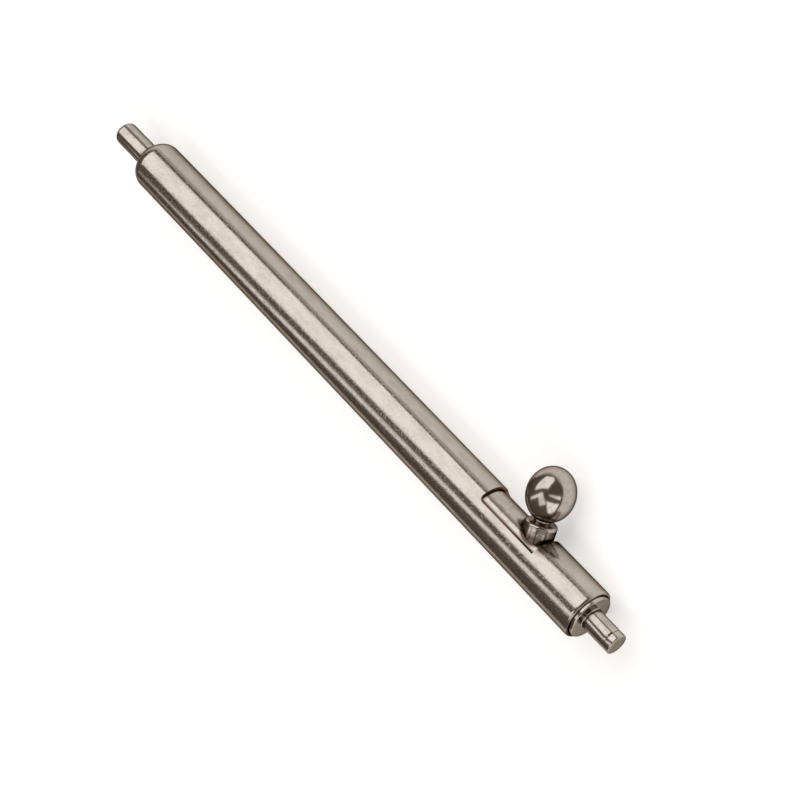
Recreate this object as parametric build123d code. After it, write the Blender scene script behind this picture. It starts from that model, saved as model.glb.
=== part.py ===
"""A quick-release spring bar that holds a watch strap between the lugs of a watch case.

A thin barrel is rolled over at one end round a fixed pin. A plunger slides in the other,
open end, with the second pin turned on its nose. A long spring pushes it out, and a ball
knob pressed into it stands out through a notch in the barrel, to be pulled back by a
fingernail.

Frame: X along the bar with the sliding pin at +X, Y out through the knob, Z up from the
surface that the bar lies on, origin on the barrel's axis at the middle of its length.
Lengths are in millimetres.
"""
import math
import os

from build123d import *

# Barrel: drawn tube, rolled over at its left end and open at its right end
barrel_length = 19.80
barrel_diameter = 1.50
barrel_wall = 0.085
rolled_end_radius = 0.45
lip_round = 0.04
lip_bevel = 0.012

# Notch: a flat cut across one side of the barrel that the knob travels in
notch_depth = 0.34
notch_to_open_end = 1.95
notch_floor_round = 0.13

# Fixed pin: its head is pressed in the barrel behind the rolled end
fixed_pin_diameter = 0.71
fixed_pin_reach = 1.40
fixed_pin_tip_round = 0.11
fixed_pin_head_length = 0.45

# Plunger: slides in the bore, with the second pin on its nose
travel = 1.12
plunger_clearance = 0.015
plunger_proud = 0.10
plunger_rim_round = 0.03
plunger_cover = 3.20
release_pin_diameter = 0.62
tip_inset = 0.03
tip_bevel = 0.035
tip_groove_setback = 0.19
tip_groove_width = 0.06
tip_groove_depth = 0.018

# Knob: a ball on a collar, with its stem pressed into the plunger
knob_lean_degrees = 15.5
ball_diameter = 1.31
ball_height = 1.49
ball_rise = 0.775
neck_diameter = 0.46
collar_diameter = 0.88
collar_rise = 0.20
collar_round = 0.08
collar_sink = 0.19
seat_clearance = 0.01
stem_diameter = 0.50
stem_length = 0.74
stem_bevel = 0.04
stop_gap = 0.03
spare_gap = 0.036

# Spring: fine wire, drawn with flats, with straight ends that stand square on what they press on
wire_diameter = 0.18
wire_flat_count = 8
spring_pitch = 0.76
spring_side_gap = 0.075
end_bend_radius = 0.26
spigot_gap = 0.07
spigot_length = 0.80
spigot_bevel = 0.05

# How far a cutting shape runs past the surface that it cuts
overrun = 0.5

# Barrel and fixed pin: radii and places that follow from the sizes above
barrel_radius = barrel_diameter / 2
bore_radius = barrel_radius - barrel_wall
open_end_x = barrel_length / 2
rolled_end_x = -barrel_length / 2
fixed_pin_radius = fixed_pin_diameter / 2

# The roll is an arc that meets the barrel's side smoothly and stops at the pin's surface
roll_centre_radius = barrel_radius - rolled_end_radius
inner_roll_radius = rolled_end_radius - barrel_wall
pin_above_roll_centre = fixed_pin_radius - roll_centre_radius
outer_roll_reach = math.sqrt(rolled_end_radius**2 - pin_above_roll_centre**2)
inner_roll_reach = math.sqrt(inner_roll_radius**2 - pin_above_roll_centre**2)
roll_centre_x = rolled_end_x + outer_roll_reach
fixed_head_x = roll_centre_x + fixed_pin_head_length

# Plunger: it fits the bore, and its pin draws back inside the open end at full travel
plunger_radius = bore_radius - plunger_clearance
plunger_face_x = open_end_x + plunger_proud
release_pin_radius = release_pin_diameter / 2
release_pin_reach = travel - plunger_proud - tip_inset
release_tip_x = plunger_face_x + release_pin_reach

# Knob: heights over the bar's axis, measured along the leaning knob
knob_lean = math.radians(knob_lean_degrees)
collar_radius = collar_diameter / 2
stem_radius = stem_diameter / 2
collar_seat_height = plunger_radius - collar_sink
collar_top_height = barrel_radius + collar_rise
ball_centre_height = collar_top_height + ball_rise
stem_end_height = collar_seat_height - stem_length

# Notch: as long as the leaning collar and its travel need
collar_half_run = collar_radius / math.cos(knob_lean)
lean_in_wall = barrel_wall * math.tan(knob_lean)
notch_floor_y = barrel_radius - notch_depth
notch_right_x = open_end_x - notch_to_open_end
notch_length = stop_gap + 2 * collar_half_run + lean_in_wall + travel + spare_gap
notch_left_x = notch_right_x - notch_length
knob_x = notch_right_x - stop_gap - collar_half_run + bore_radius * math.tan(knob_lean)
plunger_rear_x = notch_left_x - plunger_cover

# Spring: it fills the bore and clears the spigots inside it
spring_radius = bore_radius - spring_side_gap - wire_diameter / 2
spigot_radius = spring_radius - wire_diameter / 2 - spigot_gap


def corner(centre_x, centre_r, radius, from_degrees, to_degrees):
    """A quarter or other part of a circle in an outline, as an arc edge."""
    return CenterArc((centre_x, centre_r), radius, from_degrees, to_degrees - from_degrees)


def runs(*points):
    """Straight edges through the points given, one after another."""
    return [Line(first, second) for first, second in zip(points, points[1:])]


def turned(edges):
    """A solid of revolution about the X axis from the edges of a closed half outline."""
    outline = make_face(Wire(edges))
    return revolve(outline, axis=Axis.X)


def roll_start(reach):
    """The angle at which the roll's arc leaves the pin, in degrees."""
    return math.degrees(math.atan2(pin_above_roll_centre, -reach)) % 360


def make_barrel():
    """The drawn tube with its rolled end, its rounded lip and the knob's notch."""
    outer_roll = corner(
        roll_centre_x, roll_centre_radius, rolled_end_radius, roll_start(outer_roll_reach), 90
    )
    inner_roll = corner(
        roll_centre_x, roll_centre_radius, inner_roll_radius, roll_start(inner_roll_reach), 90
    )
    lip = corner(open_end_x - lip_round, barrel_radius - lip_round, lip_round, 90, 0)
    edges = [outer_roll]
    edges += runs(outer_roll @ 1, lip @ 0)
    edges += [lip]
    edges += runs(
        lip @ 1,
        (open_end_x, bore_radius + lip_bevel),
        (open_end_x - lip_bevel, bore_radius),
        inner_roll @ 1,
    )
    edges += [inner_roll]
    edges += runs(inner_roll @ 0, outer_roll @ 0)
    return turned(edges) - notch_cutter()


def notch_cutter():
    """The block that cuts the notch, with the round that the cutter leaves at the notch's far end."""
    cut_height = barrel_radius + overrun
    floor_end = corner(
        notch_left_x + notch_floor_round, notch_floor_y + notch_floor_round, notch_floor_round, 180, 270
    )
    edges = runs((notch_right_x, cut_height), (notch_left_x, cut_height), floor_end @ 0)
    edges += [floor_end]
    edges += runs(floor_end @ 1, (notch_right_x, notch_floor_y), (notch_right_x, cut_height))
    return extrude(make_face(Wire(edges)), cut_height, both=True)


def make_fixed_pin():
    """The pin that doesn't move: shank, pressed head and the spigot that centres the spring."""
    tip_x = rolled_end_x - fixed_pin_reach
    tip = corner(
        tip_x + fixed_pin_tip_round, fixed_pin_radius - fixed_pin_tip_round, fixed_pin_tip_round, 180, 90
    )
    seat = corner(
        roll_centre_x, roll_centre_radius, inner_roll_radius, roll_start(inner_roll_reach), 90
    )
    spigot_end_x = fixed_head_x + spigot_length
    edges = runs((tip_x, 0), tip @ 0)
    edges += [tip]
    edges += runs(tip @ 1, seat @ 0)
    edges += [seat]
    edges += runs(
        seat @ 1,
        (fixed_head_x, bore_radius),
        (fixed_head_x, spigot_radius),
        (spigot_end_x - spigot_bevel, spigot_radius),
        (spigot_end_x, spigot_radius - spigot_bevel),
        (spigot_end_x, 0),
        (tip_x, 0),
    )
    return turned(edges)


def turned_on_knob_axis(edges):
    """A solid of revolution about the knob's axis, which leans back towards the fixed pin."""
    outline = make_face(Wire(edges))
    return Pos(knob_x, 0, 0) * Rot(0, 0, knob_lean_degrees) * revolve(outline, axis=Axis.Y)


def knob_socket():
    """The stepped hole in the plunger that takes the knob's stem and the foot of its collar."""
    mouth_height = plunger_radius + overrun
    seat_radius = collar_radius + seat_clearance
    return turned_on_knob_axis(
        runs(
            (0, stem_end_height),
            (stem_radius, stem_end_height),
            (stem_radius, collar_seat_height),
            (seat_radius, collar_seat_height),
            (seat_radius, mouth_height),
            (0, mouth_height),
            (0, stem_end_height),
        )
    )


def make_plunger():
    """The sliding body with its nose pin, its spring spigot and the seat for the knob."""
    spigot_end_x = plunger_rear_x - spigot_length
    rim = corner(
        plunger_face_x - plunger_rim_round, plunger_radius - plunger_rim_round, plunger_rim_round, 90, 0
    )
    groove_right_x = release_tip_x - tip_groove_setback
    groove_left_x = groove_right_x - tip_groove_width
    groove_middle_x = groove_right_x - tip_groove_width / 2
    edges = runs(
        (spigot_end_x, 0),
        (spigot_end_x, spigot_radius - spigot_bevel),
        (spigot_end_x + spigot_bevel, spigot_radius),
        (plunger_rear_x, spigot_radius),
        (plunger_rear_x, plunger_radius),
        rim @ 0,
    )
    edges += [rim]
    edges += runs(
        rim @ 1,
        (plunger_face_x, release_pin_radius),
        (groove_left_x, release_pin_radius),
        (groove_middle_x, release_pin_radius - tip_groove_depth),
        (groove_right_x, release_pin_radius),
        (release_tip_x - tip_bevel, release_pin_radius),
        (release_tip_x, release_pin_radius - tip_bevel),
        (release_tip_x, 0),
        (spigot_end_x, 0),
    )
    return turned(edges) - knob_socket()


def make_release_knob():
    """The turned knob: egg-shaped ball, short neck, collar and the stem below it."""
    ball_radius = ball_diameter / 2
    ball_half_height = ball_height / 2
    neck_radius = neck_diameter / 2
    neck_turn = math.degrees(math.acos(neck_radius / ball_radius))
    pole_degrees = 90
    ball = EllipticalCenterArc(
        (0, ball_centre_height), ball_radius, ball_half_height, -neck_turn, arc_size=pole_degrees + neck_turn
    )
    shoulder = corner(
        collar_radius - collar_round, collar_top_height - collar_round, collar_round, 0, 90
    )
    edges = runs(
        ball @ 1,
        (0, stem_end_height),
        (stem_radius - stem_bevel, stem_end_height),
        (stem_radius, stem_end_height + stem_bevel),
        (stem_radius, collar_seat_height),
        (collar_radius, collar_seat_height),
        shoulder @ 0,
    )
    edges += [shoulder]
    edges += runs(shoulder @ 1, (neck_radius, collar_top_height), ball @ 0)
    edges += [ball]
    return turned_on_knob_axis(edges)


def helix_point(start_x, pitch, angle):
    """A point of the spring's centre line after turning by angle, in radians."""
    return Vector(
        start_x + pitch * angle / math.tau, spring_radius * math.cos(angle), spring_radius * math.sin(angle)
    )


def helix_direction(pitch, angle):
    """The direction of the spring's centre line at angle."""
    along = pitch / math.tau
    return Vector(along, -spring_radius * math.sin(angle), spring_radius * math.cos(angle)).normalized()


def biarc(start, start_direction, end, end_direction):
    """Two arcs that leave start and reach end in the given directions and meet smoothly."""
    across = end - start
    both = start_direction + end_direction
    spread = 2 * (1 - start_direction.dot(end_direction))
    reach = (-across.dot(both) + math.sqrt(across.dot(both) ** 2 + spread * across.dot(across))) / spread
    leave = start + start_direction * reach
    arrive = end - end_direction * reach
    meeting = (leave + arrive) / 2
    return [
        TangentArc(start, meeting, tangent=start_direction),
        TangentArc(meeting, end, tangent=(arrive - leave).normalized()),
    ]


def spring_path():
    """The wire's centre line: straight end, bend, turns in half-turn biarcs, bend, straight end."""
    straight = wire_diameter
    bend_turn = end_bend_radius / spring_radius
    helix_start_x = fixed_head_x + straight + end_bend_radius
    helix_end_x = plunger_rear_x - straight - end_bend_radius
    turns = max(1, round((helix_end_x - helix_start_x) / spring_pitch))
    pitch = (helix_end_x - helix_start_x) / turns
    along_bar = Vector(1, 0, 0)

    first_foot = helix_point(fixed_head_x, 0, -bend_turn)
    first_bend = first_foot + along_bar * straight
    edges = [Line(first_foot, first_bend)]
    edges += biarc(first_bend, along_bar, helix_point(helix_start_x, pitch, 0), helix_direction(pitch, 0))
    for half_turn in range(2 * turns):
        here = half_turn * math.pi
        there = here + math.pi
        edges += biarc(
            helix_point(helix_start_x, pitch, here),
            helix_direction(pitch, here),
            helix_point(helix_start_x, pitch, there),
            helix_direction(pitch, there),
        )
    last_turn = turns * math.tau
    last_foot = helix_point(plunger_rear_x, 0, bend_turn)
    last_bend = last_foot - along_bar * straight
    edges += biarc(
        helix_point(helix_start_x, pitch, last_turn), helix_direction(pitch, last_turn), last_bend, along_bar
    )
    edges += [Line(last_bend, last_foot)]
    return Wire(edges), turns


def least_gap(path, turns):
    """The smallest distance between one turn's surface and another's, measured on points."""
    points_per_turn = 40
    count = points_per_turn * (turns + 1)
    points = [path.position_at(i / count) for i in range(count + 1)]
    apart = points_per_turn // 2
    nearest = min(
        (points[i] - points[j]).length
        for i in range(count + 1)
        for j in range(i + apart, min(i + 2 * points_per_turn, count + 1))
    )
    return nearest - wire_diameter


def make_spring():
    """The compression spring as one unbroken wire."""
    path, turns = spring_path()
    section = Plane(path @ 0, z_dir=path % 0) * RegularPolygon(wire_diameter / 2, wire_flat_count)
    coil = sweep(section, path=path)
    section_times_length = section.area * path.length
    print("spring turns", turns, "least gap", round(least_gap(path, turns), 3))
    print("spring volume", round(coil.volume, 4), "section times length", round(section_times_length, 4))
    return coil


def main():
    os.makedirs("parts", exist_ok=True)
    pieces = {
        "barrel": make_barrel(),
        "fixed_pin": make_fixed_pin(),
        "spring": make_spring(),
        "plunger": make_plunger(),
        "release_knob": make_release_knob(),
    }
    for name, piece in pieces.items():
        export_step(piece, f"parts/{name}.step")


main()
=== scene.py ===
"""Looks of a quick-release spring bar: a drawn barrel, two pins, a coil spring and a ball knob.

Run as a script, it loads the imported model, builds every piece round it and sets up the stage.
Lengths in the settings are metres. Outlines are drawn in millimetres and scaled once.
"""

import math

import bmesh
import bpy
from bpy.props import FloatProperty, IntProperty, PointerProperty, StringProperty
from mathutils import Matrix, Vector


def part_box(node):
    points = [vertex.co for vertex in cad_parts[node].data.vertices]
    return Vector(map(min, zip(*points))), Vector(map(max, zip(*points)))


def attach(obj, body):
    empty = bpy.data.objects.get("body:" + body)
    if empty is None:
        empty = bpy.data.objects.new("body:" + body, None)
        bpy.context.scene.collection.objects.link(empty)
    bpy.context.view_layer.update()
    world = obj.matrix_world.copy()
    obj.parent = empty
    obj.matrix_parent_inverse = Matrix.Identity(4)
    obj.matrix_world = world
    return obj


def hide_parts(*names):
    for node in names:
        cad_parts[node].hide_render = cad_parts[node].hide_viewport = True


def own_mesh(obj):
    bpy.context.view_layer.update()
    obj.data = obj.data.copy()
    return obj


bl_info = {
    "name": "Quick-release spring bar",
    "version": (1, 0, 0),
    "blender": (4, 5, 0),
    "location": "View3D > Sidebar > Spring bar",
    "description": "Builds a quick-release spring bar with its finishes and a plain studio",
    "category": "Add Mesh",
}

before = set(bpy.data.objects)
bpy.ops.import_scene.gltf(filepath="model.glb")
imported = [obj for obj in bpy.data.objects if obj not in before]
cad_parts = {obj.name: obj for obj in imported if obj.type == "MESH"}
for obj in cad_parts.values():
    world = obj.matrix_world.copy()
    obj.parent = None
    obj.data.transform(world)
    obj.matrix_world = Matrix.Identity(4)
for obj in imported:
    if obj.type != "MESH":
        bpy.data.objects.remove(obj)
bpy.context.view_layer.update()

# A millimetre in metres
MM = 0.001
# Faces round a turned piece, enough for its bands of mirrored light to run smoothly
FACES_ROUND = 160
# A pin's flat end has one more ring of faces at this share of its radius, so it is shaded flat
RING_ON_FLAT = 0.6
ALONG_BAR = Vector((1, 0, 0))


def side_of(node, axis, high):
    """One face of a CAD node's box, in metres."""
    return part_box(node)[1 if high else 0][axis]


def linear_colour(code):
    """An sRGB colour written as hex, turned to the linear values that a node takes."""
    shares = [int(code[place : place + 2], 16) / 255 for place in (1, 3, 5)]
    linear = [share / 12.92 if share <= 0.04045 else ((share + 0.055) / 1.055) ** 2.4 for share in shares]
    return (*linear, 1.0)


def length_setting(title, text, default):
    """A setting for a length in metres."""
    return FloatProperty(
        name=title, description=text, default=default, unit="LENGTH", subtype="DISTANCE", precision=6
    )


def colour_setting(title, text, default):
    """A setting for an sRGB colour written as hex."""
    return StringProperty(name=title, description=text, default=default)


class SpringBarSizes(bpy.types.PropertyGroup):
    """Sizes of the pieces."""

    barrel_radius: length_setting("Barrel radius", "Outside of the drawn tube", 0.75 * MM)
    barrel_wall: length_setting("Barrel wall", "Thickness of the drawn tube", 0.085 * MM)
    roll_radius: length_setting("Roll radius", "Outside of the tube's rolled end", 0.45 * MM)
    lip_round: length_setting("Lip round", "How far the open end's edge turns in", 0.040 * MM)
    lip_length: length_setting("Lip length", "How long that turn is along the bar", 0.100 * MM)
    notch_depth: length_setting("Notch depth", "How far the notch cuts into the tube", 0.34 * MM)
    notch_right: length_setting("Notch right end", "Place of the notch's square end", 7.95 * MM)
    notch_length: length_setting("Notch length", "From the square end to the round end", 2.123 * MM)
    notch_round: length_setting("Notch round", "Cutter's round in the notch's far end", 0.13 * MM)
    edge_break: length_setting("Edge break", "Tiny round on the notch's edges", 0.014 * MM)
    fixed_pin_radius: length_setting("Fixed pin radius", "Shank that doesn't move", 0.355 * MM)
    fixed_tip_round: length_setting("Fixed pin tip round", "Rounding of its tip", 0.13 * MM)
    plunger_radius: length_setting("Plunger radius", "Body that slides in the tube", 0.65 * MM)
    plunger_proud: length_setting("Plunger proud", "How far its face stands out of the tube", 0.10 * MM)
    release_pin_radius: length_setting("Release pin radius", "Pin on the plunger's nose", 0.31 * MM)
    spigot_radius: length_setting("Spigot radius", "Post that centres the spring", 0.34 * MM)
    spigot_length: length_setting("Spigot length", "Length of that post", 0.80 * MM)
    wire_radius: length_setting("Wire radius", "Spring wire", 0.09 * MM)
    coil_radius: length_setting("Coil radius", "Middle of the spring's wire", 0.50 * MM)
    coil_turns: IntProperty(name="Coil turns", description="Turns of the spring", default=14)
    knob_place: length_setting("Knob place", "Where the knob's axis crosses the bar's", 7.648 * MM)
    ball_radius: length_setting("Ball radius", "Widest part of the ball", 0.655 * MM)
    ball_half_height: length_setting("Ball half height", "Along the knob's axis", 0.745 * MM)
    ball_centre: length_setting("Ball centre", "Height of the ball over the bar's axis", 1.725 * MM)
    neck_radius: length_setting("Neck radius", "Narrow part under the ball", 0.23 * MM)
    collar_radius: length_setting("Collar radius", "Drum that the ball stands on", 0.44 * MM)
    collar_round: length_setting("Collar round", "Rounding of the collar's top edge", 0.080 * MM)
    collar_top: length_setting("Collar top", "Height of the collar's top", 0.95 * MM)
    collar_seat: length_setting("Collar seat", "Height of the collar's foot", 0.46 * MM)
    stem_radius: length_setting("Stem radius", "Stem pressed into the plunger", 0.25 * MM)
    stem_end: length_setting("Stem end", "Height of the stem's end, under the axis", -0.28 * MM)
    knob_lean: FloatProperty(
        name="Knob lean",
        description="How far the knob leans back",
        default=math.radians(15.5),
        subtype="ANGLE",
    )


class SpringBarFinish(bpy.types.PropertyGroup):
    """Colours of the finishes."""

    steel: colour_setting("Steel", "Warm grey of clean stainless steel", "#B3ABA2")
    shade: colour_setting("Worn steel", "Duller grey in the mottled patches", "#9F958B")
    # Red-brown that the materials lay over the steel as painted shade in crevices, under the ball and on
    # shaded sides, with some real dirt at the knob's foot and the lip
    shade_and_dirt_colour: colour_setting("Crevice", "Red-brown that collects in crevices", "#3E2620")
    edge_tint: colour_setting("Edge tint", "What the metal mirrors at a grazing look", "#6A6059")
    floor: colour_setting("Floor", "Matt white paper", "#F4F2F0")


def outline_arc(centre_x, centre_r, radius, start, end, steps):
    """Points of a round stretch of an outline, with angles in degrees."""
    angles = [math.radians(start + (end - start) * step / steps) for step in range(steps + 1)]
    return [(centre_x + radius * math.cos(a), centre_r + radius * math.sin(a)) for a in angles]


def turned(outline, closed=False):
    """A shape turned about the X axis from points (along, out) of its half outline, in millimetres."""
    shape = bmesh.new()
    corners = [shape.verts.new((along, out, 0)) for along, out in outline]
    pairs = list(zip(corners, corners[1:]))
    if closed:
        pairs.append((corners[-1], corners[0]))
    edges = [shape.edges.new(pair) for pair in pairs]
    bmesh.ops.spin(
        shape,
        geom=corners + edges,
        axis=ALONG_BAR,
        cent=(0, 0, 0),
        dvec=(0, 0, 0),
        angle=math.tau,
        steps=FACES_ROUND,
        use_merge=True,
    )
    bmesh.ops.remove_doubles(shape, verts=shape.verts, dist=0.00001)
    bmesh.ops.recalc_face_normals(shape, faces=shape.faces)
    return shape


def finished(shape, name, materials, body, node):
    """Puts a shape into the scene as a piece that stands for a CAD node."""
    bmesh.ops.scale(shape, vec=(MM, MM, MM), verts=shape.verts)
    for face in shape.faces:
        face.smooth = True
    sharp_turn = math.radians(24)
    for edge in shape.edges:
        edge.smooth = len(edge.link_faces) != 2 or edge.calc_face_angle(0) < sharp_turn
    mesh = bpy.data.meshes.new(name)
    shape.to_mesh(mesh)
    shape.free()
    for material in materials:
        mesh.materials.append(material)
    piece = bpy.data.objects.new(name, mesh)
    bpy.context.scene.collection.objects.link(piece)
    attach(piece, body)
    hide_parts(node)
    return piece


def add_node(tree, kind, inputs=None, **settings):
    """Adds a shader node. Each input, by name or number, is a value or another node's output."""
    node = tree.nodes.new(kind)
    for name, value in settings.items():
        setattr(node, name, value)
    for key, value in (inputs or {}).items():
        if isinstance(value, bpy.types.NodeSocket):
            tree.links.new(value, node.inputs[key])
        else:
            node.inputs[key].default_value = value
    return node


def joined(tree, operation, *parts):
    """Values joined in turn by a Math operation.

    A part is a number, a node's output, or a fade (value, from, to, low, high), which goes from
    low at one place to high at the other and is held past them. Low is 0 and high 1 unless given.
    One part alone is only faded, and its operation has no effect.
    """
    result = None
    for part in parts:
        if isinstance(part, tuple):
            value, start, end, low, high = (*part, 0.0, 1.0)[:5]
            ends = {"Value": value, "From Min": start, "From Max": end, "To Min": low, "To Max": high}
            part = add_node(tree, "ShaderNodeMapRange", ends).outputs["Result"]
        if result is None:
            result = part
        else:
            both = {0: result, 1: part}
            result = add_node(tree, "ShaderNodeMath", both, operation=operation).outputs["Value"]
    return result


def layered(tree, under, *layers):
    """A hex colour with others laid over it in turn, each given as (how much, hex colour)."""
    # The Mix node names its number, vector and colour sockets alike, so these go by number
    share_input, under_input, over_input, colour_output = 0, 6, 7, 2
    colour = linear_colour(under)
    for share, over in layers:
        inputs = {share_input: share, under_input: colour, over_input: linear_colour(over)}
        colour = add_node(tree, "ShaderNodeMix", inputs, data_type="RGBA").outputs[colour_output]
    return colour


def new_material(name):
    """An empty node material and its node tree."""
    material = bpy.data.materials.new(name)
    material.use_nodes = True
    material.node_tree.nodes.clear()
    return material, material.node_tree


def in_millimetres(tree):
    """Object coordinates scaled so that one unit is a millimetre."""
    place = add_node(tree, "ShaderNodeTexCoord").outputs["Object"]
    inputs = {"Vector": place, "Scale": 1 / MM}
    return add_node(tree, "ShaderNodeVectorMath", inputs, operation="SCALE").outputs["Vector"]


def marks(tree, place, length, width, detail=3.0):
    """Noise from 0 to 1 whose marks are as long and as wide as given, in millimetres."""
    per_mark = (1 / length, 1 / width, 1 / width)
    scaled = add_node(tree, "ShaderNodeMapping", {"Vector": place, "Scale": per_mark})
    noise = {"Vector": scaled.outputs["Vector"], "Scale": 1.0, "Detail": detail, "Roughness": 0.55}
    return add_node(tree, "ShaderNodeTexNoise", noise).outputs["Fac"]


def apart(tree, value, place):
    """How far a value is from a place, whichever side it is on."""
    past = joined(tree, "SUBTRACT", value, place)
    return add_node(tree, "ShaderNodeMath", {0: past}, operation="ABSOLUTE").outputs["Value"]


def from_axis(tree, first, second):
    """How far a point lies from an axis, by its places in two directions square to it."""
    across = add_node(tree, "ShaderNodeCombineXYZ", {"X": first, "Y": second}).outputs["Vector"]
    return add_node(tree, "ShaderNodeVectorMath", {0: across}, operation="LENGTH").outputs["Value"]


def knob_places(tree, place, sizes):
    """Height along the knob's axis and distance out from it, in millimetres."""
    lean = sizes.knob_lean
    foot = (sizes.knob_place / MM, 0, 0)
    from_foot = add_node(tree, "ShaderNodeVectorMath", {0: place, 1: foot}, operation="SUBTRACT")
    found = []
    for direction in ((-math.sin(lean), math.cos(lean), 0), (math.cos(lean), math.sin(lean), 0)):
        inputs = {0: from_foot.outputs["Vector"], 1: direction}
        found.append(add_node(tree, "ShaderNodeVectorMath", inputs, operation="DOT_PRODUCT").outputs["Value"])
    up_knob, across_knob = found
    rise = add_node(tree, "ShaderNodeSeparateXYZ", {"Vector": place}).outputs["Z"]
    return up_knob, from_axis(tree, across_knob, rise)


def steel(tree, finish, colour, roughness, height, height_size):
    """The metal itself, with marks of a given height in millimetres."""
    bump = add_node(tree, "ShaderNodeBump", {"Strength": 1.0, "Distance": height_size * MM, "Height": height})
    shader = add_node(
        tree,
        "ShaderNodeBsdfPrincipled",
        {
            "Metallic": 1.0,
            "Specular Tint": linear_colour(finish.edge_tint),
            "Base Color": colour,
            "Roughness": roughness,
            "Normal": bump.outputs["Normal"],
        },
    )
    add_node(tree, "ShaderNodeOutputMaterial", {"Surface": shader.outputs["BSDF"]})


def drawn_tube_steel(sizes, finish):
    """Stainless steel tube, cold drawn and tumbled bright."""
    # Drawing leaves fine lines along the tube, so its bands of reflected light look faintly streaked
    material, tree = new_material("drawn_stainless_tube")
    place = in_millimetres(tree)
    # The die's lines are a few thousandths of a millimetre wide, drawn coarser here so that they show
    lines = marks(tree, place, 3.5, 0.030, 1.5)
    mottle = marks(tree, place, 0.60, 0.22, 2.0)
    specks = marks(tree, place, 0.080, 0.050, 2.0)
    worn = joined(tree, "ADD", (mottle, 0.40, 0.75, 0.0, 0.55))
    along, across, _ = add_node(tree, "ShaderNodeSeparateXYZ", {"Vector": place}).outputs
    roll_end = side_of("barrel", 0, False) / MM
    lip_end = side_of("barrel", 0, True) / MM
    notch_end = sizes.notch_right / MM
    # Red-brown painted shade where the pin leaves the roll and round the lip, heavier on the -Y side, and
    # painted shade and reflection of the knob on the barrel's +Y side just past the notch
    at_roll = (along, roll_end + 0.10, roll_end - 0.01)
    at_lip = joined(
        tree, "MULTIPLY", (along, lip_end - 0.035, lip_end + 0.005), (across, 0.45, -0.25, 0.2, 0.8)
    )
    by_notch = joined(
        tree,
        "MULTIPLY",
        (apart(tree, along, notch_end + 0.04), 0.26, 0.04),
        (across, 0.42, 0.62, 0.0, 0.75),
    )
    shade_and_dirt_mask = joined(tree, "MAXIMUM", at_roll, at_lip, by_notch)
    colour = layered(tree, finish.steel, (worn, finish.shade), (shade_and_dirt_mask, finish.shade_and_dirt_colour))
    # Tiny dull spots scatter light, so the dark bands look grainy while the bright ones stay smooth
    roughness = joined(
        tree,
        "ADD",
        (lines, 0.3, 0.7, 0.11, 0.16),
        (worn, 0.0, 1.0, 0.0, 0.06),
        (specks, 0.49, 0.68, 0.0, 0.15),
    )
    height = joined(tree, "ADD", lines, (specks, 0.0, 1.0, 0.0, 0.4), (mottle, 0.0, 1.0, 0.0, 0.4))
    steel(tree, finish, colour, roughness, height, 0.0005)
    return material


def milled_notch_steel(finish):
    """The notch's cut faces, left as the cutter made them."""
    # The cutter leaves them rough and tumbling can't reach them, so they stay dull. Their dark brown is
    # painted shade for faces that lie in the notch and mirror dark; the grain is real
    material, tree = new_material("milled_notch_edges")
    grain = marks(tree, in_millimetres(tree), 0.05, 0.02)
    colour = layered(tree, "#7E6553", (joined(tree, "ADD", (grain, 0.35, 0.75)), "#A38C78"))
    steel(tree, finish, colour, joined(tree, "ADD", (grain, 0.3, 0.7, 0.36, 0.48)), grain, 0.0012)
    return material


def turned_pin_steel(sizes, finish):
    """Stainless steel pins, turned on a lathe and left satin. Both pins share it."""
    name = "turned_stainless_pins"
    if name in bpy.data.materials:
        return bpy.data.materials[name]
    # Turning leaves fine rings round the pin, so a highlight along it is a little soft and ticked
    material, tree = new_material(name)
    place = in_millimetres(tree)
    along, across, rise = add_node(tree, "ShaderNodeSeparateXYZ", {"Vector": place}).outputs
    # The rings are as far apart as the tool moved in one turn
    rings = marks(tree, place, 0.030, 1.2)
    out_from_axis = add_node(tree, "ShaderNodeCombineXYZ", {"X": from_axis(tree, across, rise)})
    face_rings = marks(tree, out_from_axis.outputs["Vector"], 0.04, 1.0)
    mottle = marks(tree, place, 0.18, 0.18, 4.0)
    worn = joined(tree, "ADD", (mottle, 0.45, 0.75))
    lip_end = side_of("barrel", 0, True) / MM
    roll_end = side_of("barrel", 0, False) / MM
    notch_right = sizes.notch_right / MM
    notch_left = notch_right - sizes.notch_length / MM
    notch_middle = (notch_left + notch_right) / 2
    notch_floor = (sizes.barrel_radius - sizes.notch_depth) / MM
    collar = sizes.collar_radius / MM
    _, from_knob = knob_places(tree, place, sizes)
    # Red-brown painted shade in the gap at the lip (heavier on the -Y side), where the pin enters the roll,
    # along the notch's edges and round the knob's foot, with some real dirt at the lip and the foot
    in_mouth = joined(
        tree,
        "MULTIPLY",
        (along, lip_end + 0.040, lip_end + 0.005),
        (along, lip_end - 0.6, lip_end - 0.4),
        (across, 0.45, -0.25, 0.25, 1.0),
    )
    in_roll = joined(
        tree,
        "MULTIPLY",
        (along, roll_end - 0.16, roll_end - 0.02),
        (along, roll_end + 0.4, roll_end + 0.3),
    )
    by_notch = joined(
        tree,
        "MAXIMUM",
        (along, notch_left + 0.09, notch_left + 0.03, 0.0, 0.6),
        (across, notch_floor + 0.030, notch_floor + 0.005, 0.0, 0.6),
        (from_knob, collar + 0.10, collar + 0.04, 0.0, 0.9),
    )
    in_notch = joined(tree, "MULTIPLY", by_notch, (apart(tree, along, notch_middle), 1.35, 1.25))
    shade_and_dirt_mask = joined(tree, "MAXIMUM", in_mouth, in_roll, in_notch)
    colour = layered(tree, finish.steel, (worn, finish.shade), (shade_and_dirt_mask, finish.shade_and_dirt_colour))
    roughness = joined(tree, "ADD", (rings, 0.3, 0.7, 0.12, 0.19), (worn, 0.0, 1.0, 0.0, 0.06))
    steel(tree, finish, colour, roughness, joined(tree, "ADD", rings, face_rings, mottle), 0.0006)
    return material


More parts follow.
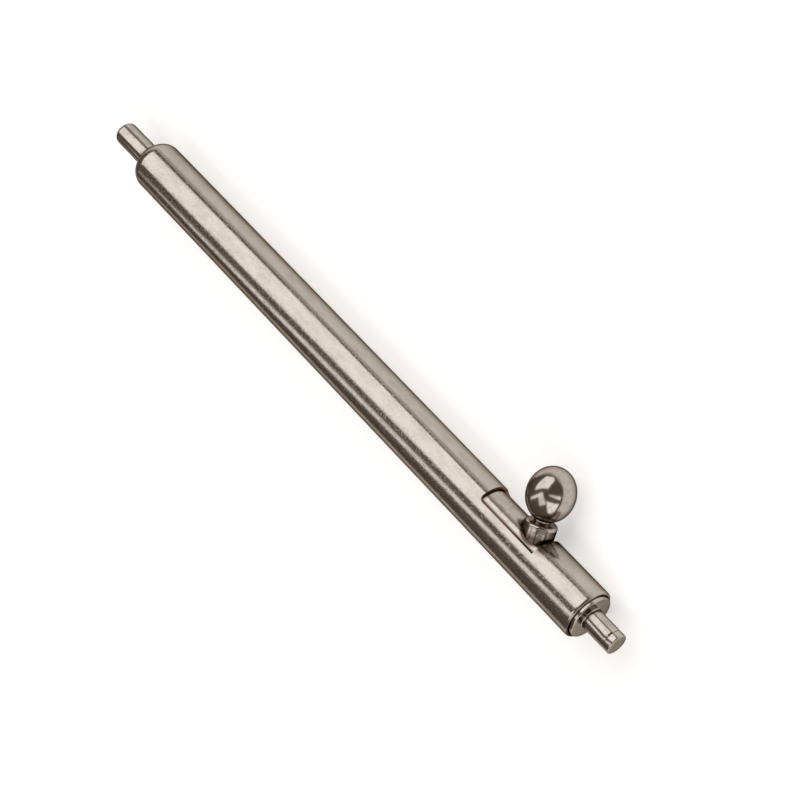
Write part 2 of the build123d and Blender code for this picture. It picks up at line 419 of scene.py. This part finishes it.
def drawn_wire_steel(finish):
    """Stainless spring wire, hard drawn."""
    # The die leaves it bright with faint lines, dulled a little where it is coiled
    material, tree = new_material("hard_drawn_spring_wire")
    grain = marks(tree, in_millimetres(tree), 0.06, 0.06)
    colour = layered(tree, finish.steel, (joined(tree, "ADD", (grain, 0.4, 0.7)), finish.shade))
    steel(tree, finish, colour, joined(tree, "ADD", (grain, 0.3, 0.7, 0.16, 0.28)), grain, 0.0010)
    return material


def polished_knob_steel(sizes, finish):
    """Stainless steel knob, turned and then buffed to a mirror."""
    # Buffing rounds every edge and leaves hairlines, so it mirrors the room in hard patches
    material, tree = new_material("buffed_stainless_knob")
    place = in_millimetres(tree)
    # The buff's hairlines are a few thousandths of a millimetre wide, drawn coarser so that they show
    hairlines = marks(tree, place, 0.30, 0.018)
    haze = marks(tree, place, 0.12, 0.12, 4.0)
    worn = joined(tree, "ADD", (haze, 0.35, 0.75, 0.0, 0.9))
    rise = add_node(tree, "ShaderNodeSeparateXYZ", {"Vector": place}).outputs["Z"]
    up_knob, _ = knob_places(tree, place, sizes)
    top = sizes.collar_top / MM
    # Red-brown painted shade under the ball, at the collar's foot, and on the collar's lower side and in
    # patches there, with some real dirt at the foot
    deepest_shade = 0.85
    in_neck = joined(
        tree,
        "MULTIPLY",
        (up_knob, top + 0.015, top + 0.035, 0.0, deepest_shade * 0.35),
        (up_knob, top + 0.12, top + 0.08),
    )
    at_foot = (up_knob, top - 0.20, top - 0.34, 0.0, deepest_shade)
    low_or_patchy = joined(tree, "MAXIMUM", (rise, 0.32, 0.08), (haze, 0.45, 0.60, 0.0, 0.4))
    on_collar = joined(tree, "MULTIPLY", (up_knob, top - 0.07, top - 0.11, 0.0, deepest_shade), low_or_patchy)
    shade_and_dirt_mask = joined(tree, "MAXIMUM", in_neck, at_foot, on_collar)
    colour = layered(tree, finish.steel, (worn, finish.shade), (shade_and_dirt_mask, finish.shade_and_dirt_colour))
    roughness = joined(tree, "ADD", (hairlines, 0.3, 0.7, 0.13, 0.17), (worn, 0.0, 1.0, 0.0, 0.03))
    steel(tree, finish, colour, roughness, joined(tree, "ADD", hairlines, haze), 0.0004)
    return material


def in_mm(sizes):
    """The settings' lengths in millimetres, by name."""
    lengths = {}
    for name in sizes.bl_rna.properties.keys():
        value = getattr(sizes, name)
        if isinstance(value, float) and name != "knob_lean":
            lengths[name] = value / MM
    return lengths


def roll_outline(mm, radius, steps):
    """The rolled end's arc of one radius, from the fixed pin out to the tube's side."""
    height = mm["barrel_radius"] - mm["roll_radius"]
    rise = mm["fixed_pin_radius"] - height
    middle = side_of("barrel", 0, False) / MM + math.sqrt(mm["roll_radius"] ** 2 - rise**2)
    start = math.degrees(math.atan2(rise, -math.sqrt(radius**2 - rise**2))) % 360
    return outline_arc(middle, height, radius, start, 90, steps)


def rotate(shape, verts, angle, axis, centre=(0, 0, 0)):
    """Turns vertices about an axis through a centre, by an angle in radians."""
    bmesh.ops.rotate(shape, cent=centre, matrix=Matrix.Rotation(angle, 3, axis), verts=verts)


class SPRINGBAR_OT_barrel(bpy.types.Operator):
    """Builds the drawn barrel with its rolled end and its notch"""

    bl_idname = "springbar.barrel"
    bl_label = "Barrel"

    def execute(self, context):
        sizes = context.scene.spring_bar_sizes
        mm = in_mm(sizes)
        right = side_of("barrel", 0, True) / MM
        radius = mm["barrel_radius"]
        bore = radius - mm["barrel_wall"]
        lip, lip_length = mm["lip_round"], mm["lip_length"]
        inner_bevel = 0.012
        outline = roll_outline(mm, mm["roll_radius"], 16)
        for along, out in outline_arc(0, 0, 1, 90, 0, 9):
            outline.append((right + (along - 1) * lip_length, radius + (out - 1) * lip))
        outline += [(right, bore + inner_bevel), (right - inner_bevel, bore)]
        outline += reversed(roll_outline(mm, mm["roll_radius"] - mm["barrel_wall"], 12))
        tube = turned(outline, closed=True)
        shape = self.notched(tube, mm, radius)
        self.break_edges(shape, mm)
        finish = context.scene.spring_bar_finish
        materials = (drawn_tube_steel(sizes, finish), milled_notch_steel(finish))
        finished(shape, "drawn_barrel", materials, "bar", "barrel")
        return {"FINISHED"}

    def notched(self, tube, mm, radius):
        """The tube with the notch cut by a block that has one rounded corner."""
        floor = radius - mm["notch_depth"]
        top = radius * 2
        right = mm["notch_right"]
        left = right - mm["notch_length"]
        middle = (right + left) / 2
        block = bmesh.new()
        bmesh.ops.create_cube(block, size=1.0)
        bmesh.ops.scale(block, vec=(right - left, top - floor, radius * 3), verts=block.verts)
        bmesh.ops.translate(block, vec=(middle, (top + floor) / 2, 0), verts=block.verts)
        corner = [
            edge
            for edge in block.edges
            if all(vert.co.x < middle and vert.co.y < radius for vert in edge.verts)
        ]
        bmesh.ops.bevel(
            block,
            geom=corner,
            offset=mm["notch_round"],
            offset_type="OFFSET",
            segments=10,
            profile=0.5,
            affect="EDGES",
            material=-1,
        )
        bmesh.ops.recalc_face_normals(block, faces=block.faces)
        for face in block.faces:
            face.material_index = 1
        objects = []
        for name, shape in (("tube_blank", tube), ("notch_block", block)):
            mesh = bpy.data.meshes.new(name)
            shape.to_mesh(mesh)
            shape.free()
            # Two empty slots carry the block's second material through the cut
            mesh.materials.append(None)
            mesh.materials.append(None)
            blank = bpy.data.objects.new(name, mesh)
            bpy.context.scene.collection.objects.link(blank)
            objects.append(blank)
        blank, cutter = objects
        cut = blank.modifiers.new("notch", "BOOLEAN")
        cut.operation = "DIFFERENCE"
        cut.solver = "EXACT"
        cut.object = cutter
        bpy.context.view_layer.update()
        evaluated = blank.evaluated_get(bpy.context.evaluated_depsgraph_get())
        shape = bmesh.new()
        shape.from_mesh(evaluated.to_mesh())
        evaluated.to_mesh_clear()
        for used in objects:
            mesh = used.data
            bpy.data.objects.remove(used)
            bpy.data.meshes.remove(mesh)
        return shape

    def break_edges(self, shape, mm):
        """The tiny round that tumbling leaves on the notch's outer edges."""
        sharp = math.radians(25)
        near = 0.02
        left = mm["notch_right"] - mm["notch_length"] - near
        right = mm["notch_right"] + near
        edges = [
            edge
            for edge in shape.edges
            if len(edge.link_faces) == 2
            and edge.calc_face_angle(0) > sharp
            and all(left < vert.co.x < right and vert.co.y > 0 for vert in edge.verts)
        ]
        bmesh.ops.bevel(
            shape,
            geom=edges,
            offset=mm["edge_break"],
            offset_type="OFFSET",
            segments=4,
            profile=0.5,
            affect="EDGES",
            material=-1,
            clamp_overlap=True,
        )


class SPRINGBAR_OT_fixed_pin(bpy.types.Operator):
    """Builds the pin that the rolled end holds"""

    bl_idname = "springbar.fixed_pin"
    bl_label = "Fixed pin"

    def execute(self, context):
        sizes = context.scene.spring_bar_sizes
        mm = in_mm(sizes)
        tip = side_of("fixed_pin", 0, False) / MM
        end = side_of("fixed_pin", 0, True) / MM
        bore = mm["barrel_radius"] - mm["barrel_wall"]
        head = end - mm["spigot_length"]
        spigot = mm["spigot_radius"]
        spigot_bevel = 0.05
        tip_round = mm["fixed_tip_round"]
        flat = mm["fixed_pin_radius"] - tip_round
        outline = [(tip, 0), (tip, flat * RING_ON_FLAT)]
        outline += outline_arc(tip + tip_round, flat, tip_round, 180, 90, 10)
        outline += roll_outline(mm, mm["roll_radius"] - mm["barrel_wall"], 10)
        outline += [(head, bore), (head, spigot)]
        outline += [(end - spigot_bevel, spigot), (end, spigot - spigot_bevel), (end, 0)]
        shape = turned(outline)
        material = turned_pin_steel(sizes, context.scene.spring_bar_finish)
        finished(shape, "rolled_in_pin", (material,), "bar", "fixed_pin")
        return {"FINISHED"}


class SPRINGBAR_OT_spring(bpy.types.Operator):
    """Builds the coil spring between the two spigots"""

    bl_idname = "springbar.spring"
    bl_label = "Spring"

    wire_sides = 12
    steps_in_turn = 40
    bend_steps = 6
    # A bend's steps run further along the bar where the wire lies nearly along it
    bend_reach = 1.6

    def execute(self, context):
        sizes = context.scene.spring_bar_sizes
        mm = in_mm(sizes)
        # The wire's ends stop a hair short of the faces they press on, so no pose has them cross
        hair = 0.004
        start = side_of("spring", 0, False) / MM + hair
        end = side_of("spring", 0, True) / MM - hair
        coil = mm["coil_radius"]
        turns = sizes.coil_turns
        steps = turns * self.steps_in_turn
        straight = 2 * mm["wire_radius"]
        lean = math.atan2((end - start - 4 * straight) / turns, math.tau * coil)
        turn = (math.pi / 2 - lean) / self.bend_steps
        shape = bmesh.new()
        section = bmesh.ops.create_circle(shape, segments=self.wire_sides, radius=mm["wire_radius"])["verts"]
        rotate(shape, section, math.pi / 2, "Y")
        bmesh.ops.translate(shape, vec=(start, coil, 0), verts=section)
        ring, verts = self.drawn_out(shape, list(shape.edges))
        bmesh.ops.translate(shape, vec=(straight, 0, 0), verts=verts)
        for step in range(self.bend_steps):
            share = (step + 1) / self.bend_steps
            ring, verts = self.drawn_out(shape, ring)
            self.bend(shape, verts, -turn)
            rotate(shape, verts, share * math.tau / self.steps_in_turn, "X")
            along = straight / self.bend_steps * (self.bend_reach - share)
            bmesh.ops.translate(shape, vec=(along, 0, 0), verts=verts)
        reached = sum((vert.co.x for vert in verts), 0.0) / len(verts)
        helix_end = end - (reached - start)
        bmesh.ops.spin(
            shape,
            geom=verts + ring,
            axis=ALONG_BAR,
            cent=(0, 0, 0),
            dvec=((helix_end - reached) / steps, 0, 0),
            angle=math.tau * turns,
            steps=steps,
        )
        self.last_end(shape, straight, turn)
        for loop in self.open_ends(shape):
            bmesh.ops.edgeloop_fill(shape, edges=loop)
        bmesh.ops.recalc_face_normals(shape, faces=shape.faces)
        material = drawn_wire_steel(context.scene.spring_bar_finish)
        piece = finished(shape, "coil_spring", (material,), "bar", "spring")
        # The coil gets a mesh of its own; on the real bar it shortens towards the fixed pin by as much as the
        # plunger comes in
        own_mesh(piece)
        return {"FINISHED"}

    def drawn_out(self, shape, ring):
        """Extrudes the wire's rim. Gives the new rim's edges and vertices."""
        new = bmesh.ops.extrude_edge_only(shape, edges=ring)["geom"]
        edges = [item for item in new if isinstance(item, bmesh.types.BMEdge)]
        return edges, [item for item in new if isinstance(item, bmesh.types.BMVert)]

    def bend(self, shape, verts, turn):
        """Turns the wire's rim about its own middle, towards or away from the coil's turn."""
        centre = sum((vert.co for vert in verts), Vector()) / len(verts)
        outwards = Vector((0, centre.y, centre.z)).normalized()
        rotate(shape, verts, turn, outwards, centre)

    def open_ends(self, shape):
        """The rims of the wire's two open ends, the fixed pin's first."""
        rims = [edge for edge in shape.edges if edge.is_boundary]
        middle = sum((edge.verts[0].co.x for edge in rims), 0.0) / len(rims)
        return [
            [edge for edge in rims if edge.verts[0].co.x < middle],
            [edge for edge in rims if edge.verts[0].co.x >= middle],
        ]

    def last_end(self, shape, straight, turn):
        """Bends the last turn's end back to run along the bar."""
        ring = self.open_ends(shape)[1]
        for step in range(self.bend_steps):
            share = 1 - step / self.bend_steps
            ring, verts = self.drawn_out(shape, ring)
            rotate(shape, verts, share * math.tau / self.steps_in_turn, "X")
            self.bend(shape, verts, turn)
            along = straight / self.bend_steps * (self.bend_reach - share)
            bmesh.ops.translate(shape, vec=(along, 0, 0), verts=verts)
        _, verts = self.drawn_out(shape, ring)
        bmesh.ops.translate(shape, vec=(straight, 0, 0), verts=verts)


class SPRINGBAR_OT_plunger(bpy.types.Operator):
    """Builds the plunger with the release pin on its nose"""

    bl_idname = "springbar.plunger"
    bl_label = "Plunger"

    def execute(self, context):
        sizes = context.scene.spring_bar_sizes
        mm = in_mm(sizes)
        start = side_of("plunger", 0, False) / MM
        tip = side_of("plunger", 0, True) / MM
        face = side_of("barrel", 0, True) / MM + mm["plunger_proud"]
        rear = start + mm["spigot_length"]
        body = mm["plunger_radius"]
        pin = mm["release_pin_radius"]
        spigot = mm["spigot_radius"]
        spigot_bevel = 0.05
        rim = 0.03
        foot = 0.025
        # The shoulder has one more ring of faces, which keeps its flat shaded flat beside the fillet
        shoulder_ring = foot * 6
        tip_bevel = 0.035
        groove_setback, groove_width, groove_depth = 0.19, 0.06, 0.018
        groove_right = tip - groove_setback
        groove_left = groove_right - groove_width
        outline = [(start, 0), (start, spigot - spigot_bevel), (start + spigot_bevel, spigot)]
        outline += [(rear, spigot), (rear, body)]
        outline += outline_arc(face - rim, body - rim, rim, 90, 0, 6)
        outline += [(face, pin + shoulder_ring)]
        outline += outline_arc(face + foot, pin + foot, foot, 180, 270, 5)
        outline += [(groove_left, pin), ((groove_left + groove_right) / 2, pin - groove_depth)]
        outline += [(groove_right, pin)]
        outline += outline_arc(tip - tip_bevel, pin - tip_bevel, tip_bevel, 90, 0, 5)
        outline += [(tip, (pin - tip_bevel) * RING_ON_FLAT), (tip, 0)]
        shape = turned(outline)
        material = turned_pin_steel(sizes, context.scene.spring_bar_finish)
        finished(shape, "sliding_plunger", (material,), "slider", "plunger")
        return {"FINISHED"}


class SPRINGBAR_OT_knob(bpy.types.Operator):
    """Builds the turned knob that a fingernail draws back"""

    bl_idname = "springbar.knob"
    bl_label = "Release knob"

    def execute(self, context):
        sizes = context.scene.spring_bar_sizes
        mm = in_mm(sizes)
        ball, half_height, centre = mm["ball_radius"], mm["ball_half_height"], mm["ball_centre"]
        collar, top, seat = mm["collar_radius"], mm["collar_top"], mm["collar_seat"]
        neck, stem, stem_end = mm["neck_radius"], mm["stem_radius"], mm["stem_end"]
        stem_bevel, seat_bevel, top_round = 0.04, 0.015, mm["collar_round"]
        outline = [(stem_end, 0), (stem_end, stem - stem_bevel), (stem_end + stem_bevel, stem)]
        outline += [(seat, stem), (seat, collar - seat_bevel), (seat + seat_bevel, collar)]
        outline += outline_arc(top - top_round, collar - top_round, top_round, 90, 0, 10)
        outline += [(top, neck)]
        # The ball is an egg shape, drawn on a round arc from the neck to its pole and then stretched
        neck_turn = math.degrees(math.acos(neck / ball))
        for out, along in outline_arc(0, 0, 1, -neck_turn, 90, 40):
            outline.append((centre + half_height * along, ball * out))
        outline[-1] = (centre + half_height, 0)
        shape = turned(outline)
        for angle in (math.pi / 2, sizes.knob_lean):
            rotate(shape, shape.verts, angle, "Z")
        bmesh.ops.translate(shape, vec=(mm["knob_place"], 0, 0), verts=shape.verts)
        material = polished_knob_steel(sizes, context.scene.spring_bar_finish)
        finished(shape, "ball_knob", (material,), "slider", "release_knob")
        return {"FINISHED"}


def in_sky(azimuth, zenith, distance):
    """A point in a direction given in degrees from +X round to +Y, and down from straight above."""
    around, down = math.radians(azimuth), math.radians(zenith)
    level = math.sin(down)
    return Vector((level * math.cos(around), level * math.sin(around), math.cos(down))) * distance


class SPRINGBAR_OT_stage(bpy.types.Operator):
    """Builds the paper floor, the softboxes, the room's light and the camera"""

    bl_idname = "springbar.stage"
    bl_label = "Stage"

    def execute(self, context):
        scene = context.scene
        scene.view_settings.view_transform = "Standard"
        self.floor(scene)
        self.softboxes(scene)
        self.room(scene)
        self.camera(scene)
        return {"FINISHED"}

    def placed(self, scene, shape, name, material):
        """Puts a shape of the stage into the scene."""
        mesh = bpy.data.meshes.new(name)
        shape.to_mesh(mesh)
        shape.free()
        mesh.materials.append(material)
        thing = bpy.data.objects.new(name, mesh)
        scene.collection.objects.link(thing)

    def floor(self, scene):
        """A sheet of matt white paper under the bar."""
        shape = bmesh.new()
        bmesh.ops.create_grid(shape, x_segments=4, y_segments=4, size=2.0)
        bmesh.ops.translate(shape, vec=(0, 0, side_of("barrel", 2, False)), verts=shape.verts)
        # Uncoated paper, matt, with a slight tooth
        material, tree = new_material("matt_white_paper")
        tooth = joined(tree, "ADD", (marks(tree, in_millimetres(tree), 0.4, 0.4), 0.3, 0.7, 0.0, 0.15))
        colour = layered(tree, scene.spring_bar_finish.floor, (tooth, "#E9E6E2"))
        matt = {"Base Color": colour, "Roughness": 0.9, "Specular IOR Level": 0.2}
        paper = add_node(tree, "ShaderNodeBsdfPrincipled", matt).outputs["BSDF"]
        # The camera, and the metal by reflection, see the paper lit up to a photograph's white
        white_lift = 0.47
        rays = add_node(tree, "ShaderNodeLightPath").outputs
        seen = joined(
            tree, "MAXIMUM", rays["Is Camera Ray"], rays["Is Glossy Ray"], rays["Is Transmission Ray"]
        )
        lift = joined(tree, "ADD", (seen, 0.0, 1.0, 0.0, white_lift))
        white = {"Color": linear_colour("#FFFFFF"), "Strength": lift}
        glow = add_node(tree, "ShaderNodeEmission", white).outputs["Emission"]
        both = add_node(tree, "ShaderNodeAddShader", {0: paper, 1: glow}).outputs["Shader"]
        add_node(tree, "ShaderNodeOutputMaterial", {"Surface": both})
        self.placed(scene, shape, "paper_floor", material)

    def softboxes(self, scene):
        """Softboxes in the sky round the bar, whose mirrored outlines are the bands on its steel."""
        distance = 0.8
        # How bright each is, and the azimuth and the angle from straight above of each corner
        boxes = {
            "softbox_behind_knob": (
                1.74,
                (
                    (84, 27),
                    (157, 24),
                    (193, 37),
                    (200, 47),
                    (178, 50),
                    (155, 56),
                    (140, 68.3),
                    (107, 73.5),
                    (94, 67),
                ),
            ),
            "strip_light": (1.5, ((180, 9), (-31, 3), (231.2, 69.6), (225.2, 65.0))),
            "softbox_front": (1.3, ((-150, 22), (150, 9), (-34.6, 36.8), (-79.8, 42.8))),
            "softbox_pin_end": (1.68, ((-20.7, 28.7), (0, 80), (-40, 84), (-50, 72))),
            "strip_pin_end": (1.6, ((26, 24), (31, 27), (24, 80), (13, 80))),
        }
        for name, (strength, corners) in boxes.items():
            shape = bmesh.new()
            points = [shape.verts.new(in_sky(azimuth, zenith, distance)) for azimuth, zenith in corners]
            bmesh.ops.contextual_create(shape, geom=points)
            bmesh.ops.recalc_face_normals(shape, faces=shape.faces)
            material, tree = new_material(name + "_cloth")
            white = {"Color": linear_colour("#FFFFFF"), "Strength": strength}
            glow = add_node(tree, "ShaderNodeEmission", white).outputs["Emission"]
            add_node(tree, "ShaderNodeOutputMaterial", {"Surface": glow})
            self.placed(scene, shape, name, material)

    def room(self, scene):
        """A dim room above a pale horizon."""
        world = bpy.data.worlds.new("dim_studio")
        world.use_nodes = True
        tree = world.node_tree
        tree.nodes.clear()
        look = add_node(tree, "ShaderNodeTexCoord").outputs["Generated"]
        rise = add_node(tree, "ShaderNodeSeparateXYZ", {"Vector": look}).outputs["Z"]
        # The pale horizon stands higher behind the knob, where the paper sweeps up
        behind = math.radians(122)
        low_edge, high_edge = -0.01, math.sin(math.radians(9.5))
        inputs = {0: look, 1: (math.cos(behind), math.sin(behind), 0)}
        towards = add_node(tree, "ShaderNodeVectorMath", inputs, operation="DOT_PRODUCT").outputs["Value"]
        edge = joined(tree, "ADD", (towards, 0.35, 0.75, low_edge, high_edge))
        above_edge = joined(tree, "SUBTRACT", rise, edge)
        dim = joined(tree, "ADD", (above_edge, 0.0, 0.03))
        colour = layered(tree, "#D6D1CB", (dim, "#6A6058"))
        light = add_node(tree, "ShaderNodeBackground", {"Color": colour, "Strength": 1.0})
        add_node(tree, "ShaderNodeOutputWorld", {"Surface": light.outputs["Background"]})
        scene.world = world

    def camera(self, scene):
        """The photograph's viewpoint, with its long lens."""
        lens = bpy.data.cameras.new("photo_camera")
        lens.lens = 97.27
        lens.sensor_width = 36.0
        lens.clip_start = 0.001
        lens.clip_end = 20.0
        camera = bpy.data.objects.new("photo_camera", lens)
        azimuth, elevation, roll = (math.radians(angle) for angle in (132.286, 49.368, -94.128))
        away = math.cos(elevation)
        back = Vector((math.sin(azimuth) * away, -math.cos(azimuth) * away, math.sin(elevation)))
        level = Vector((math.cos(azimuth), math.sin(azimuth), 0))
        rise = back.cross(level)
        right = level * math.cos(roll) + rise * math.sin(roll)
        up = back.cross(right)
        turn = Matrix((right, up, back)).transposed().to_4x4()
        turn.translation = Vector((29.688, 25.717, 43.852)) * MM
        camera.matrix_world = turn
        scene.collection.objects.link(camera)
        scene.camera = camera


OPERATORS = (
    SPRINGBAR_OT_barrel,
    SPRINGBAR_OT_fixed_pin,
    SPRINGBAR_OT_spring,
    SPRINGBAR_OT_plunger,
    SPRINGBAR_OT_knob,
    SPRINGBAR_OT_stage,
)


class SPRINGBAR_PT_panel(bpy.types.Panel):
    """Lists the pieces and the settings in the sidebar"""

    bl_idname = "SPRINGBAR_PT_panel"
    bl_label = "Spring bar"
    bl_space_type = "VIEW_3D"
    bl_region_type = "UI"
    bl_category = "Spring bar"

    def draw(self, context):
        column = self.layout.column()
        for operator in OPERATORS:
            column.operator(operator.bl_idname)
        for settings in (context.scene.spring_bar_sizes, context.scene.spring_bar_finish):
            for name in settings.__annotations__:
                column.prop(settings, name)


CLASSES = (SpringBarSizes, SpringBarFinish, *OPERATORS, SPRINGBAR_PT_panel)


def register():
    for item in CLASSES:
        bpy.utils.register_class(item)
    bpy.types.Scene.spring_bar_sizes = PointerProperty(type=SpringBarSizes)
    bpy.types.Scene.spring_bar_finish = PointerProperty(type=SpringBarFinish)


def unregister():
    del bpy.types.Scene.spring_bar_finish
    del bpy.types.Scene.spring_bar_sizes
    for item in reversed(CLASSES):
        bpy.utils.unregister_class(item)


def main():
    """Builds every piece, then the stage."""
    register()
    bpy.ops.springbar.barrel()
    bpy.ops.springbar.fixed_pin()
    bpy.ops.springbar.spring()
    bpy.ops.springbar.plunger()
    bpy.ops.springbar.knob()
    bpy.ops.springbar.stage()


if __name__ == "__main__":
    main()
